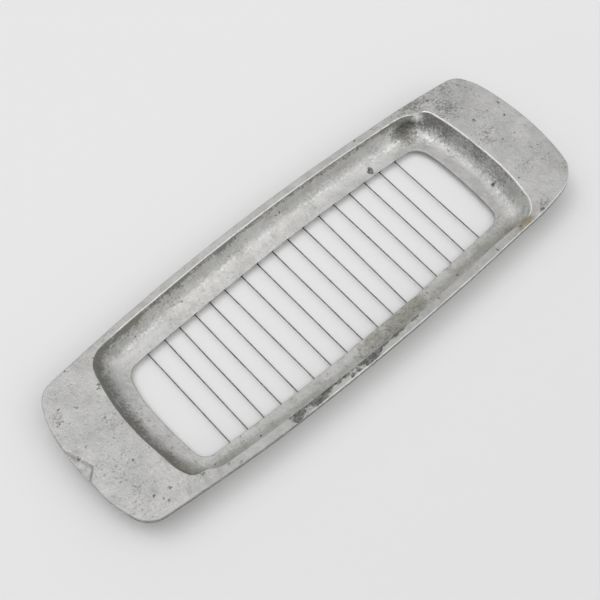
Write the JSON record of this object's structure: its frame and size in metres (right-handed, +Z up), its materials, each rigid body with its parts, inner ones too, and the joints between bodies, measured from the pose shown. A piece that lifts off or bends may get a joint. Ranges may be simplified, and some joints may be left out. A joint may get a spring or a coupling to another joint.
{
  "type": "wire butter slicer",
  "caption": "Tray-like cast frame with a wide ear at each end and a row of fine steel wires strung across its long opening, for cutting a stick of butter into pats.",
  "frame": {"origin": "below the middle of the opening, on the flat underside that the frame stands on", "axes": "+X along the frame from ear to ear, +Y across it along the wires, +Z up out of the tray's mouth"},
  "size_m": [0.204, 0.0706, 0.0128],
  "materials": {
    "cast_aluminium": "satin, rough cast and lightly pitted",
    "wire_steel": "drawn spring steel, dulled",
    "ferrule_steel": "plain crimped sleeve"
  },
  "bodies": {
    "root": {"frame_casting": "cast_aluminium", "wire_01": "wire_steel", "wire_02": "wire_steel", "wire_03": "wire_steel", "wire_04": "wire_steel", "wire_05": "wire_steel", "wire_06": "wire_steel", "wire_07": "wire_steel", "wire_08": "wire_steel", "wire_09": "wire_steel", "wire_10": "wire_steel", "wire_11": "wire_steel", "wire_12": "wire_steel", "wire_13": "wire_steel", "wire_14": "wire_steel", "wire_15": "wire_steel", "wire_16": "wire_steel", "wire_17": "wire_steel", "front_wire_ferrules": "ferrule_steel", "back_wire_ferrules": "ferrule_steel"}
  },
  "joints": []
}
